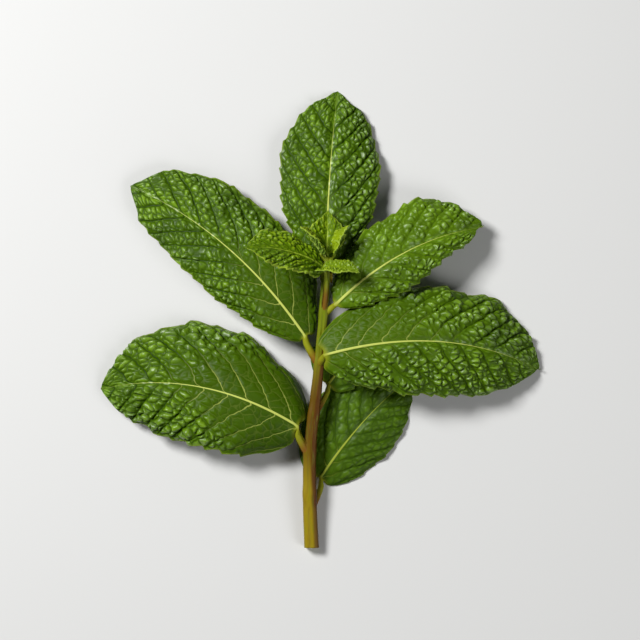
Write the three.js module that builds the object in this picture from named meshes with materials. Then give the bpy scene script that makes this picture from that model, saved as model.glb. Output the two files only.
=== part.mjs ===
/**
 * Mint sprig: the cut top of a shoot, lying on its back on a flat surface.
 *
 * A square stem carries leaves at its nodes. Each leaf is one solid: a petiole that grows into a thin blade.
 * +Y runs up the shoot, +X to its right and +Z away from the surface. Millimetres and degrees.
 * The origin is the centre of the bounding box, at the level of the surface.
 */
import * as THREE from "three";

// ---------------------------------------------------------------- driving dimensions

const STEM_WIDTH_AT_CUT = 3.8; // across the flats of the square stem
const STEM_WIDTH_AT_TOP = 2.3;
const STEM_WIDTH_AT_TIP = 1.2; // past the top node, where the stem is still soft
const STEM_CORNER = 3.2; // 2 is a round stem, higher is squarer
const NODE_SWELL = 0.3; // how far a node stands proud of the stem
const NODE_SPREAD = 2.0; // half the length of that swelling
const STEM_TILT = 8.3; // the leaves behind the shoot hold its top up by this angle

// Each stretch of stem ends at a node. Sway is how far that node lies to the right of the cut end.
const INTERNODES = [
  { node: "first", length: 13.2, sway: -0.5 },
  { node: "second", length: 15.2, sway: -0.4 },
  { node: "third", length: 11.2, sway: 0.9 },
  { node: "fourth", length: 13.7, sway: 2.3 },
  { node: "fifth", length: 13.4, sway: 3.4 },
  { node: "top", length: 10.2, sway: 4.0 },
  { node: "tip", length: 3.2, sway: 4.3 },
];
const SOFT_FROM = "top"; // the stem narrows to its tip from this node

const CLEARANCE = 0.3; // between a petiole or the bud and the stem
const BLADE_THICKNESS = 0.7;
const YOUNG_THICKNESS = 0.5;
const EDGE_SHARE = 0.5; // a blade's thickness at its edge, against its thickness at the midrib
const RIB_DEPTH = 0.5; // how far the midrib stands below the blade where the petiole meets it
const TIP_WIDTH = 0.5;
const LOBE_SHARE = 0.3; // how much of the blade, from its base, the lobes take up
const FALL_SETTLES = 0.8; // how far along the blade its edges reach the fall that they have at the tip
const PETIOLE_END = 0.92; // how far along its run the round petiole starts to spread into the blade
const BUD_WIDTH = 1.3;
const BUD_LENGTH = 2.4;
const BUD_PROFILE = [0.2, 0.97]; // the part of a half circle that it follows, from its foot to its crown

/**
 * The leaves, from the cut end up. The young ones are thinner and paler.
 * node, side: where the petiole leaves the stem. Side is an angle round it, 0 to the right and 90 to the front.
 * petiole: its width, and how far it runs to the blade across, along and above the shoot.
 * length: the blade's. half: the flat width of each half, left and right as seen from base to tip.
 * widest: where along the blade that is. point: 0.5 for an end as round as an ellipse, 1 for a straight one.
 * lobe: how far back past the petiole's end the two sides of the base reach.
 * heading, pitch, roll: the chord's direction in plan, its slope above the surface, and the turn about it that
 * lifts the left half. bow, arch: the midrib's rise to the left of the chord and above it.
 * fall: how steeply each edge drops away from the midrib, at the base and at the tip of the blade.
 */
const LEAVES = [
  {
    name: "leaf_low_right",
    node: "first", side: -20,
    petiole: { width: 1.6, across: -0.2, along: 6.2, above: -1.4 },
    length: 37.5, half: { left: 13.1, right: 10.8 }, widest: 0.42, point: 0.6, lobe: 1.5,
    heading: 48, pitch: -1.5, roll: 0, bow: 1.6, arch: 2.2,
    fall: { left: [18, 12], right: [26, 20] },
  },
  {
    name: "leaf_low_left",
    node: "second", side: 170,
    petiole: { width: 1.7, across: -0.7, along: 6.6, above: 3.9 },
    length: 55, half: { left: 18, right: 21 }, widest: 0.44, point: 0.58, lobe: 2,
    heading: 170.5, pitch: -9, roll: 8, bow: -4.8, arch: 6.5,
    fall: { left: [40, 40], right: [66, 40] },
  },
  {
    name: "leaf_hidden_right",
    node: "third", side: -15,
    petiole: { width: 1.5, across: 0.8, along: 5.8, above: -2.6 },
    length: 21, half: { left: 10, right: 7.4 }, widest: 0.4, point: 0.55, lobe: 1,
    heading: 52, pitch: -8, roll: 0, bow: 0, arch: 1.2,
    fall: { left: [14, 20], right: [14, 20] },
  },
  {
    name: "leaf_mid_left",
    node: "fourth", side: 175,
    petiole: { width: 1.8, across: -1.1, along: 5.4, above: 0.6 },
    length: 63, half: { left: 13.8, right: 14.8 }, widest: 0.5, point: 0.56, lobe: 1.5,
    heading: 139, pitch: -7, roll: 3, bow: -4.2, arch: 4.5,
    fall: { left: [34, 26], right: [40, 26] },
  },
  {
    name: "leaf_mid_right",
    node: "fourth", side: 50,
    petiole: { width: 1.8, across: -0.1, along: 0.2, above: 3 },
    length: 60, half: { left: 16.5, right: 16.5 }, widest: 0.48, point: 0.5, lobe: 2.5,
    heading: -4, pitch: -12.6, roll: -6, bow: 5, arch: 7,
    fall: { left: [40, 44], right: [44, 40] },
  },
  {
    name: "leaf_upper_right",
    node: "fifth", side: 12,
    petiole: { width: 1.5, across: 0.8, along: 0.6, above: 1.2 },
    length: 45.6, half: { left: 12.8, right: 10 }, widest: 0.5, point: 0.56, lobe: 0.5,
    heading: 28, pitch: -9, roll: -8, bow: 3, arch: 5,
    fall: { left: [60, 34], right: [34, 30] },
  },
  {
    name: "leaf_top",
    node: "top", side: -90,
    petiole: { width: 1.4, across: 0, along: 3.4, above: -0.4 },
    length: 46.6, half: { left: 14, right: 14 }, widest: 0.47, point: 0.6, lobe: 0,
    heading: 86, pitch: -12, roll: 0, bow: 0.6, arch: 2.5,
    fall: { left: [30, 24], right: [30, 24] },
  },
  {
    name: "young_left", young: true,
    node: "fifth", side: 135,
    petiole: { width: 1.2, across: -1.2, along: 10.4, above: 2.4 },
    length: 22.4, half: { left: 6, right: 7.2 }, widest: 0.5, point: 0.5, lobe: 0,
    heading: 163, pitch: 34, roll: 44, bow: -1, arch: 2,
    fall: { left: [20, 30], right: [10, 20] },
  },
  {
    name: "young_right", young: true,
    node: "top", side: 60,
    petiole: { width: 1.0, across: 0.2, along: -0.8, above: 1.2 },
    length: 10.8, half: { left: 4, right: 4 }, widest: 0.45, point: 0.55, lobe: 0,
    heading: -2, pitch: 36, roll: -66, bow: 0, arch: 1,
    fall: { left: [-30, -10], right: [-30, -10] },
  },
  {
    name: "inner_left", young: true,
    node: "tip", side: 150,
    petiole: { width: 0.8, across: -0.3, along: 0.9, above: 1.0 },
    length: 11, half: { left: 3.4, right: 3.4 }, widest: 0.45, point: 0.55, lobe: 0,
    heading: 126, pitch: 36, roll: 76, bow: 0, arch: 0.8,
    fall: { left: [-30, -10], right: [-30, -10] },
  },
  {
    name: "inner_right", young: true,
    node: "tip", side: 20,
    petiole: { width: 0.8, across: 0.5, along: 0.8, above: 0.6 },
    length: 10, half: { left: 2.8, right: 2.8 }, widest: 0.45, point: 0.6, lobe: 0,
    heading: 66, pitch: 34, roll: -66, bow: 0, arch: 0.8,
    fall: { left: [-30, -10], right: [-30, -10] },
  },
  {
    name: "inner_back", young: true,
    node: "tip", side: -90,
    petiole: { width: 0.8, across: 0, along: 1.2, above: -0.2 },
    length: 11.6, half: { left: 3.8, right: 3.8 }, widest: 0.42, point: 0.7, lobe: 0,
    heading: 89, pitch: 4, roll: 0, bow: 0, arch: 1.2,
    fall: { left: [-30, -10], right: [-30, -10] },
  },
];

const STEM_SIDES = 16; // points round the stem
const STEM_STEP = 3.5; // between its sections
const HALF_BLADE_POINTS = 4; // from the midrib to an edge
const BLADE_SECTIONS = 16;
const PETIOLE_SECTIONS = 4;
const BUD_SECTIONS = 6;

const LEAF_GREEN = new THREE.MeshStandardMaterial({ color: 0x3f6f1a, roughness: 0.55, metalness: 0 });
const YOUNG_GREEN = new THREE.MeshStandardMaterial({ color: 0x7c9a24, roughness: 0.6, metalness: 0 });
const STEM_OLIVE = new THREE.MeshStandardMaterial({ color: 0x7d6f22, roughness: 0.6, metalness: 0 });

// ---------------------------------------------------------------- geometry

const { degToRad, lerp, smoothstep } = THREE.MathUtils;
const RIGHT = new THREE.Vector3(1, 0, 0);
const AHEAD = new THREE.Vector3(0, 1, 0);
const UP = new THREE.Vector3(0, 0, 1);
const TINY = 1e-4; // a step small enough to stand for none

/** A closed solid through rings of the same number of points, with a flat cap at each end. */
function loft(rings) {
  const count = rings[0].length;
  const faces = [];
  for (let ring = 0; ring + 1 < rings.length; ring++) {
    for (let i = 0; i < count; i++) {
      const [a, b] = [ring * count + i, ring * count + ((i + 1) % count)];
      faces.push(a, b, b + count, a, b + count, a + count);
    }
  }
  const last = (rings.length - 1) * count;
  for (let i = 1; i + 1 < count; i++) {
    faces.push(0, i + 1, i);
    faces.push(last, last + i, last + i + 1);
  }
  const positions = rings.flat().flatMap((p) => p.toArray());
  const geometry = new THREE.BufferGeometry();
  geometry.setAttribute("position", new THREE.Float32BufferAttribute(positions, 3));
  geometry.setIndex(faces);
  return geometry;
}

/** The point reached from an origin by a distance along each of some axes. */
function at(origin, ...steps) {
  const point = origin.clone();
  for (const [axis, distance] of steps) point.addScaledVector(axis, distance);
  return point;
}

// The stem rests on its cut end, so its middle is half a width above the surface there.
const stemLength = INTERNODES.reduce((sum, part) => sum + part.length, 0);
const nodeHeights = {};
const stemPoints = [new THREE.Vector3(0, 0, STEM_WIDTH_AT_CUT / 2)];
let reached = 0;
for (const part of INTERNODES) {
  reached += part.length;
  nodeHeights[part.node] = reached;
  const rise = reached * Math.tan(degToRad(STEM_TILT));
  stemPoints.push(new THREE.Vector3(part.sway, reached, STEM_WIDTH_AT_CUT / 2 + rise));
}
const stemLine = new THREE.CatmullRomCurve3(stemPoints, false, "centripetal");

/** The middle of the stem at a height along the shoot. */
function stemAt(height) {
  let [low, high] = [0, 1];
  while (high - low > TINY / 100) {
    const middle = (low + high) / 2;
    if (stemLine.getPoint(middle).y < height) low = middle;
    else high = middle;
  }
  return stemLine.getPoint(low);
}

/** Half the stem's width at a height along the shoot, with the swelling at each node. */
function stemRadius(height) {
  const soft = nodeHeights[SOFT_FROM];
  const plain =
    height < soft
      ? lerp(STEM_WIDTH_AT_CUT, STEM_WIDTH_AT_TOP, height / soft) / 2
      : lerp(STEM_WIDTH_AT_TOP, STEM_WIDTH_AT_TIP, (height - soft) / (stemLength - soft)) / 2;
  const distances = Object.values(nodeHeights).map((node) => Math.abs(height - node));
  return plain + NODE_SWELL * Math.exp(-((Math.min(...distances) / NODE_SPREAD) ** 2));
}

/** The stem: square with rounded corners, tapering, and swollen at each node. */
function makeStem() {
  const sections = Math.ceil(stemLength / STEM_STEP);
  const rings = [];
  for (let section = 0; section <= sections; section++) {
    const height = (stemLength * section) / sections;
    const middle = stemAt(height);
    const ring = [];
    for (let i = 0; i < STEM_SIDES; i++) {
      const angle = (2 * Math.PI * i) / STEM_SIDES;
      const [c, s] = [Math.cos(angle), Math.sin(angle)];
      const round = (Math.abs(c) ** STEM_CORNER + Math.abs(s) ** STEM_CORNER) ** (-1 / STEM_CORNER);
      const radius = stemRadius(height) * round;
      ring.push(new THREE.Vector3(middle.x + radius * c, height, middle.z - radius * s));
    }
    rings.push(ring);
  }
  return loft(rings);
}

/** How wide a blade is along its length, as a share of its greatest width. */
function bladeOutline(t, widest, point) {
  const base = (point * widest) / (1 - widest); // puts the greatest width where it belongs
  return (t / widest) ** base * ((1 - t) / (1 - widest)) ** point;
}

/** A ring round a petiole: as many points as a ring round the blade, so that the two loft together. */
function petioleRing(middle, side, normal, radius) {
  const count = 4 * HALF_BLADE_POINTS + 2;
  const ring = [];
  for (let i = 0; i < count; i++) {
    const angle = (Math.PI * (2 * i + 1)) / count;
    ring.push(at(middle, [side, radius * Math.cos(angle)], [normal, radius * Math.sin(angle)]));
  }
  return ring;
}

/** A ring round the blade: over the top from the left edge to the right one, and back underneath. */
function bladeRing(middle, { side, normal, ahead }, { halves, falls, sweep, thickness, rib }) {
  const [over, under] = [[], []];
  for (let i = -HALF_BLADE_POINTS; i <= HALF_BLADE_POINTS; i++) {
    const share = Math.abs(i) / HALF_BLADE_POINTS;
    const hand = i < 0 ? 1 : -1;
    const fall = degToRad(i < 0 ? falls.left : falls.right);
    const halfWidth = i < 0 ? halves.left : halves.right;
    // The fall grows evenly from none at the midrib, so the half blade is an arc of its own flat width.
    const turn = fall * share;
    const bent = Math.abs(turn) > TINY;
    const reach = bent ? Math.sin(turn) / fall : share;
    const drop = bent ? (1 - Math.cos(turn)) / fall : 0;
    const point = at(
      middle,
      [side, hand * reach * halfWidth],
      [normal, -drop * halfWidth],
      [ahead, -sweep * share ** 2],
    );
    const outward = at(new THREE.Vector3(), [normal, Math.cos(turn)], [side, hand * Math.sin(turn)]);
    const half = (thickness * lerp(1, EDGE_SHARE, share ** 2)) / 2;
    over.push(at(point, [outward, half]));
    under.unshift(at(point, [outward, -half - (i === 0 ? rib : 0)]));
  }
  return [...over, ...under];
}

/** One leaf: the petiole from the stem's side to the blade, and the blade along its bowed, arched midrib. */
function makeLeaf(leaf) {
  const height = nodeHeights[leaf.node];
  const around = degToRad(leaf.side);
  const outwards = new THREE.Vector3(Math.cos(around), 0, Math.sin(around));
  const petioleRun = new THREE.Vector3(leaf.petiole.across, leaf.petiole.along, leaf.petiole.above);
  const petioleRadius = leaf.petiole.width / 2;
  const direction = petioleRun.clone().normalize();
  // The root's rim is the petiole's nearest point to the stem.
  const rim = petioleRadius * Math.sqrt(1 - direction.dot(outwards) ** 2);
  const corner = Math.SQRT2 ** (1 - 2 / STEM_CORNER);
  const root = at(stemAt(height), [outwards, stemRadius(height) * corner + CLEARANCE + rim]);
  const base = root.clone().add(petioleRun);

  const [heading, pitch] = [degToRad(leaf.heading), degToRad(leaf.pitch)];
  const chord = new THREE.Vector3(
    Math.cos(pitch) * Math.cos(heading),
    Math.cos(pitch) * Math.sin(heading),
    Math.sin(pitch),
  );
  const left = new THREE.Vector3(-Math.sin(heading), Math.cos(heading), 0);
  left.applyAxisAngle(chord, degToRad(leaf.roll));
  const above = new THREE.Vector3().crossVectors(chord, left);

  const midrib = (t) => {
    const lift = 4 * t * (1 - t);
    return at(base, [chord, leaf.length * t], [left, leaf.bow * lift], [above, leaf.arch * lift]);
  };
  const frameAt = (t) => {
    const ahead = midrib(t + TINY).sub(midrib(t - TINY)).normalize();
    const side = new THREE.Vector3().crossVectors(above, ahead).normalize();
    return { side, normal: new THREE.Vector3().crossVectors(ahead, side), ahead };
  };

  const rings = [];
  const bladeStart = frameAt(0);
  for (let section = 0; section <= PETIOLE_SECTIONS; section++) {
    const share = section / PETIOLE_SECTIONS;
    const middle = root.clone().lerp(base, share * PETIOLE_END);
    const side = new THREE.Vector3().crossVectors(UP, direction).normalize();
    side.lerp(bladeStart.side, share ** 2).normalize();
    const normal = new THREE.Vector3().crossVectors(direction, side).normalize();
    rings.push(petioleRing(middle, side, normal, petioleRadius));
  }
  for (let section = 1; section <= BLADE_SECTIONS; section++) {
    // Closer together towards both ends, and stopping half a step short of the tip.
    const t = (1 - Math.cos((Math.PI * section) / (BLADE_SECTIONS + 0.5))) / 2;
    const outline = bladeOutline(t, leaf.widest, leaf.point);
    const settled = smoothstep(t, 0, FALL_SETTLES);
    const shape = {
      halves: {
        left: Math.max(leaf.half.left * outline, TIP_WIDTH / 2),
        right: Math.max(leaf.half.right * outline, TIP_WIDTH / 2),
      },
      falls: { left: lerp(...leaf.fall.left, settled), right: lerp(...leaf.fall.right, settled) },
      sweep: leaf.lobe * Math.max(1 - t / LOBE_SHARE, 0) ** 2,
      thickness: leaf.young ? YOUNG_THICKNESS : BLADE_THICKNESS,
      rib: Math.min(RIB_DEPTH, petioleRadius) * (1 - t),
    };
    rings.push(bladeRing(midrib(t), frameAt(t), shape));
  }
  return loft(rings);
}

/** The bud: an egg that stands on the end of the stem. */
function makeBud() {
  const foot = at(stemAt(stemLength), [AHEAD, CLEARANCE]);
  const rings = [];
  for (let section = 0; section <= BUD_SECTIONS; section++) {
    const share = section / BUD_SECTIONS;
    const angle = lerp(...BUD_PROFILE, share) * Math.PI;
    const radius = (BUD_WIDTH / 2) * Math.sin(angle);
    const middle = at(foot, [AHEAD, BUD_LENGTH * share]);
    const ring = [];
    for (let i = 0; i < STEM_SIDES; i++) {
      const turn = (2 * Math.PI * i) / STEM_SIDES;
      ring.push(at(middle, [RIGHT, radius * Math.cos(turn)], [UP, -radius * Math.sin(turn)]));
    }
    rings.push(ring);
  }
  return loft(rings);
}

// ---------------------------------------------------------------- assembly

const sprig = new THREE.Group();

function add(name, geometry, material) {
  const mesh = new THREE.Mesh(geometry, material);
  mesh.name = name;
  sprig.add(mesh);
}

add("stem", makeStem(), STEM_OLIVE);
for (const leaf of LEAVES) add(leaf.name, makeLeaf(leaf), leaf.young ? YOUNG_GREEN : LEAF_GREEN);
add("bud", makeBud(), YOUNG_GREEN);

const box = new THREE.Box3().setFromObject(sprig, true);
const middle = box.getCenter(new THREE.Vector3());
sprig.position.set(-middle.x, -middle.y, -box.min.z);

export default sprig;
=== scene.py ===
"""Mint sprig: a square stem with quilted, toothed leaves, lying on its back on a pale surface.

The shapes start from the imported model. Each of its leaves is a loft of equal rings, first round the petiole
and then round the blade, and the stem is a loft too. The rings are read back in order, a smooth sheet is
passed through them, and Geometry Nodes raise the quilting between the veins.
"""

import logging
import math
from dataclasses import dataclass, fields, replace
from enum import Enum
from typing import NamedTuple

import bpy
import numpy as np
from mathutils import Matrix, Vector


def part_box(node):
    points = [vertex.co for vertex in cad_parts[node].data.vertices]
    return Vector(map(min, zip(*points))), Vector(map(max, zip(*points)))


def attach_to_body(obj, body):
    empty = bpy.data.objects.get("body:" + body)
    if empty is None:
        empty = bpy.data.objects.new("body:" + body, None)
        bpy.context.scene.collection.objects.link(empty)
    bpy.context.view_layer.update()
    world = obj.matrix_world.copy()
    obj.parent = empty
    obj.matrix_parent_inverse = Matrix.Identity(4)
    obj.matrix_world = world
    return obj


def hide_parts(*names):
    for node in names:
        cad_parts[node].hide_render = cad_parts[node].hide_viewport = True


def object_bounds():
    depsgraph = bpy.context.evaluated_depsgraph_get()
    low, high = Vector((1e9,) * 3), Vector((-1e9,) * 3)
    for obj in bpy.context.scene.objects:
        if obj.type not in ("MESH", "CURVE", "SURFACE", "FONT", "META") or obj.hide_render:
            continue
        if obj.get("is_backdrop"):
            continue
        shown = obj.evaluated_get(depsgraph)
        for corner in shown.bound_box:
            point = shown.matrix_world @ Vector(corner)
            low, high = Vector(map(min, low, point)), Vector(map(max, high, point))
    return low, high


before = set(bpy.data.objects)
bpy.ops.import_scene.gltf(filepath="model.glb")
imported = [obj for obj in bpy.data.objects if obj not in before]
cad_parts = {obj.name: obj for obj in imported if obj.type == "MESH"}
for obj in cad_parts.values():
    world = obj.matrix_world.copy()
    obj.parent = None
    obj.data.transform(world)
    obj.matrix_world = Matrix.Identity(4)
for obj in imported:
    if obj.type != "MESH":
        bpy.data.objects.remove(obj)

LOG = logging.getLogger("mint_sprig")
MM = 0.001
BODY = "root"
FLOOR_GAP = 0.03 * MM  # nothing visible comes closer to the surface that the sprig lies on

# ----------------------------------------------------------------------------------- reading the lofts


@dataclass(frozen=True)
class Loft:
    """A CAD solid as the rings that it was lofted through, from its root to its tip.

    Attributes:
        rings: places in metres, one row for each ring, in the same order round every ring.
    """

    rings: np.ndarray

    WELD = 1e-4 * MM  # corners closer than this are one point
    FLAT = 0.999  # the cosine between two faces of one flat cap

    @classmethod
    def read(cls, node: str, count: int, near: np.ndarray) -> "Loft":
        """Finds the rings of a node by walking its mesh from one end cap to the other.

        Args:
            node: name of the CAD node.
            count: points in each ring.
            near: places along something that the first ring's end is closest to.

        Returns:
            The loft, with the first ring at the end nearest to those places.
        """
        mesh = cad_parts[node].data
        corners = np.array([v.co for v in mesh.vertices], float)
        keys = np.round(corners / cls.WELD).astype(np.int64)
        _, first, ids = np.unique(keys, axis=0, return_index=True, return_inverse=True)
        ids = ids.reshape(-1)
        places = corners[first]
        faces = [[int(ids[i]) for i in polygon.vertices] for polygon in mesh.polygons]
        around: dict[int, set[int]] = {}
        touching: dict[int, list[list[int]]] = {}
        for face in faces:
            for turn in range(3):
                a, b, c = face[turn:] + face[:turn]
                around.setdefault(a, set()).update((b, c))
                touching.setdefault(a, []).append([a, b, c])
        # Each cap is a fan round one of its own points, which has the most neighbours.
        hubs = sorted(around, key=lambda i: -len(around[i]))[:2]
        hub = min(hubs, key=lambda i: float(np.linalg.norm(places[i] - near, axis=-1).min()))
        ring = cls._cap(touching[hub], places, count)
        done: set[int] = set()
        rows = []
        while ring:
            rows.append(places[ring])
            done.update(ring)
            ring = cls._next(ring, around, done)
        return cls(np.array(rows))

    @classmethod
    def _cap(cls, fan: list[list[int]], places: np.ndarray, count: int) -> list[int]:
        """Orders the points of an end cap.

        Args:
            fan: every face at the cap's hub, each starting with the hub.
            places: the places of all points.
            count: points in the ring.

        Returns:
            The ring's points in order, hub first.
        """
        normals = []
        for hub, b, c in fan:
            cross = np.cross(places[b] - places[hub], places[c] - places[hub])
            normals.append(cross / np.linalg.norm(cross))
        flat = np.array(normals)
        alike = (flat @ flat.T > cls.FLAT).sum(axis=1)
        cap = flat[int(alike.argmax())]
        follows = {c: b for (_, b, c), normal in zip(fan, flat) if normal @ cap > cls.FLAT}
        point = next(i for i in follows if i not in follows.values())
        ring = [fan[0][0], point]
        while point in follows and len(ring) < count:
            point = follows[point]
            ring.append(point)
        return ring

    @staticmethod
    def _next(ring: list[int], around: dict[int, set[int]], done: set[int]) -> list[int]:
        """Steps from one ring to the next.

        Args:
            ring: the ring's points in order.
            around: the neighbours of every point.
            done: the points already in a ring.

        Returns:
            The next ring's points in the same order, or an empty list past the last ring.
        """
        step = []
        for i, point in enumerate(ring):
            shared = (around[point] & around[ring[i - 1]]) - done
            if len(shared) != 1:
                return []
            step.append(shared.pop())
        return step

    @property
    def middles(self) -> np.ndarray:
        """The middle of each ring."""
        return self.rings.mean(axis=1)


def curve(
    before: np.ndarray, here: np.ndarray, there: np.ndarray, after: np.ndarray, t: np.ndarray
) -> np.ndarray:
    """The smooth curve from one place to the next that also heads for those before and after them.

    Args:
        before: the place before the curve starts.
        here: where it starts.
        there: where it ends.
        after: the place after its end.
        t: how far along it to read, from 0 to 1.

    Returns:
        The places on the curve.
    """
    return 0.5 * (
        2 * here
        + (there - before) * t
        + (2 * before - 5 * here + 4 * there - after) * t**2
        + (3 * here - before - 3 * there + after) * t**3
    )


def along_rows(table: np.ndarray, at: np.ndarray) -> np.ndarray:
    """Passes smooth curves through the rows of a table.

    Args:
        table: values, one row for each whole number.
        at: the row numbers to read, with fractions.

    Returns:
        One row for each of them.
    """
    before, after = 2 * table[:1] - table[1:2], 2 * table[-1:] - table[-2:-1]
    longer = np.concatenate([before, table, after])
    low = np.clip(np.floor(at).astype(int), 0, len(table) - 2)
    t = (at - low).reshape((-1,) + (1,) * (table.ndim - 1))
    return curve(*(longer[low + i] for i in range(4)), t)


def smooth(values: np.ndarray, low: float, high: float) -> np.ndarray:
    """Rises smoothly from 0 at low to 1 at high."""
    t = np.clip((values - low) / (high - low), 0.0, 1.0)
    return t * t * (3 - 2 * t)


def lengths(points: np.ndarray) -> np.ndarray:
    """The distance travelled along a row of points, at each of them."""
    steps = np.linalg.norm(np.diff(points, axis=0), axis=-1)
    return np.concatenate([np.zeros((1,) + steps.shape[1:]), np.cumsum(steps, axis=0)])


def unit(vectors: np.ndarray) -> np.ndarray:
    """The same directions, one long."""
    return vectors / np.maximum(np.linalg.norm(vectors, axis=-1, keepdims=True), 1e-12)


def shell(name: str, rings: np.ndarray, marks: dict[str, np.ndarray]) -> bpy.types.Object:
    """Makes a closed mesh through rings of equal length, with a fan at each end.

    Args:
        name: the object's name.
        rings: places, one row for each ring.
        marks: values to store at the rings' points, by attribute name, one for all or one for each.

    Returns:
        The new object.
    """
    rows, count = rings.shape[:2]
    ends = np.array([rings[0].mean(axis=0), rings[-1].mean(axis=0)])
    index = np.arange(rows * count).reshape(rows, count)
    a, b = index[:-1], np.roll(index, -1, axis=1)[:-1]
    c, d = np.roll(index, -1, axis=1)[1:], index[1:]
    quads = np.stack([a, b, c, d], axis=-1).reshape(-1, 4).tolist()
    root, tip = rows * count, rows * count + 1
    fans = [[root, int(index[0, (i + 1) % count]), int(index[0, i])] for i in range(count)]
    fans += [[tip, int(index[-1, i]), int(index[-1, (i + 1) % count])] for i in range(count)]
    mesh = bpy.data.meshes.new(name)
    mesh.from_pydata(np.concatenate([rings.reshape(-1, 3), ends]).tolist(), [], quads + fans)
    for mark, values in marks.items():
        vector = np.ndim(values) == 3
        table = np.broadcast_to(values, rings.shape if vector else (rows, count))
        flat = np.concatenate([table.reshape(rows * count, -1), table[[0, -1], :1].reshape(2, -1)])
        kind, label = ("FLOAT_VECTOR", "vector") if vector else ("FLOAT", "value")
        mesh.attributes.new(mark, kind, "POINT").data.foreach_set(label, flat.ravel())
    mesh.shade_smooth()
    made = bpy.data.objects.new(name, mesh)
    bpy.context.scene.collection.objects.link(made)
    return made


# ---------------------------------------------------------------------------------- writing node trees


class Value:
    """A value in a node tree, which the usual operators combine."""

    def __init__(self, tree: "Tree", socket: bpy.types.NodeSocket) -> None:
        """Wraps an output socket of a tree."""
        self.tree = tree
        self.socket = socket

    def __add__(self, other: "Term") -> "Value":
        """The sum."""
        return self.tree.math("ADD", self, other)

    def __sub__(self, other: "Term") -> "Value":
        """The difference."""
        return self.tree.math("SUBTRACT", self, other)

    def __rsub__(self, other: "Term") -> "Value":
        """The difference, from a number."""
        return self.tree.math("SUBTRACT", other, self)

    def __mul__(self, other: "Term") -> "Value":
        """The product."""
        return self.tree.math("MULTIPLY", self, other)

    def __truediv__(self, other: "Term") -> "Value":
        """The quotient."""
        return self.tree.math("DIVIDE", self, other)

    __radd__ = __add__
    __rmul__ = __mul__


Term = Value | float


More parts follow.
